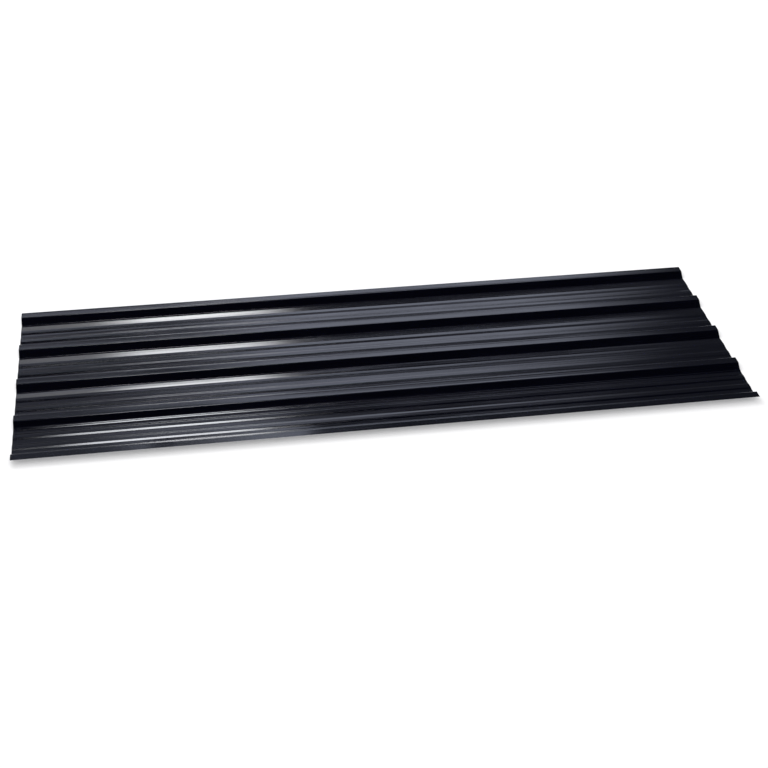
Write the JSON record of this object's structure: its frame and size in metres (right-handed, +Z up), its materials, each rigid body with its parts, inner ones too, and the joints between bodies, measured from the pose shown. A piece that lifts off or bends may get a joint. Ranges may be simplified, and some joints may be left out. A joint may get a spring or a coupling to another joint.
{
  "type": "corrugated metal sheet",
  "caption": "Box-profile roofing and cladding sheet of thin dark coated steel, with square-cut ends, swaged pans between the ribs and a lapping edge.",
  "frame": {"origin": "centre of the sheet's outline, at the level of the pan undersides that it lies on", "axes": "+X along the ribs; +Y across them, towards the full rib and away from the lapping edge; +Z up, the way the ribs stand"},
  "size_m": [1.29, 0.4502, 0.01],
  "materials": {
    "coated_steel": "gloss"
  },
  "bodies": {
    "root": {"corrugated_sheet": "coated_steel"}
  },
  "joints": []
}
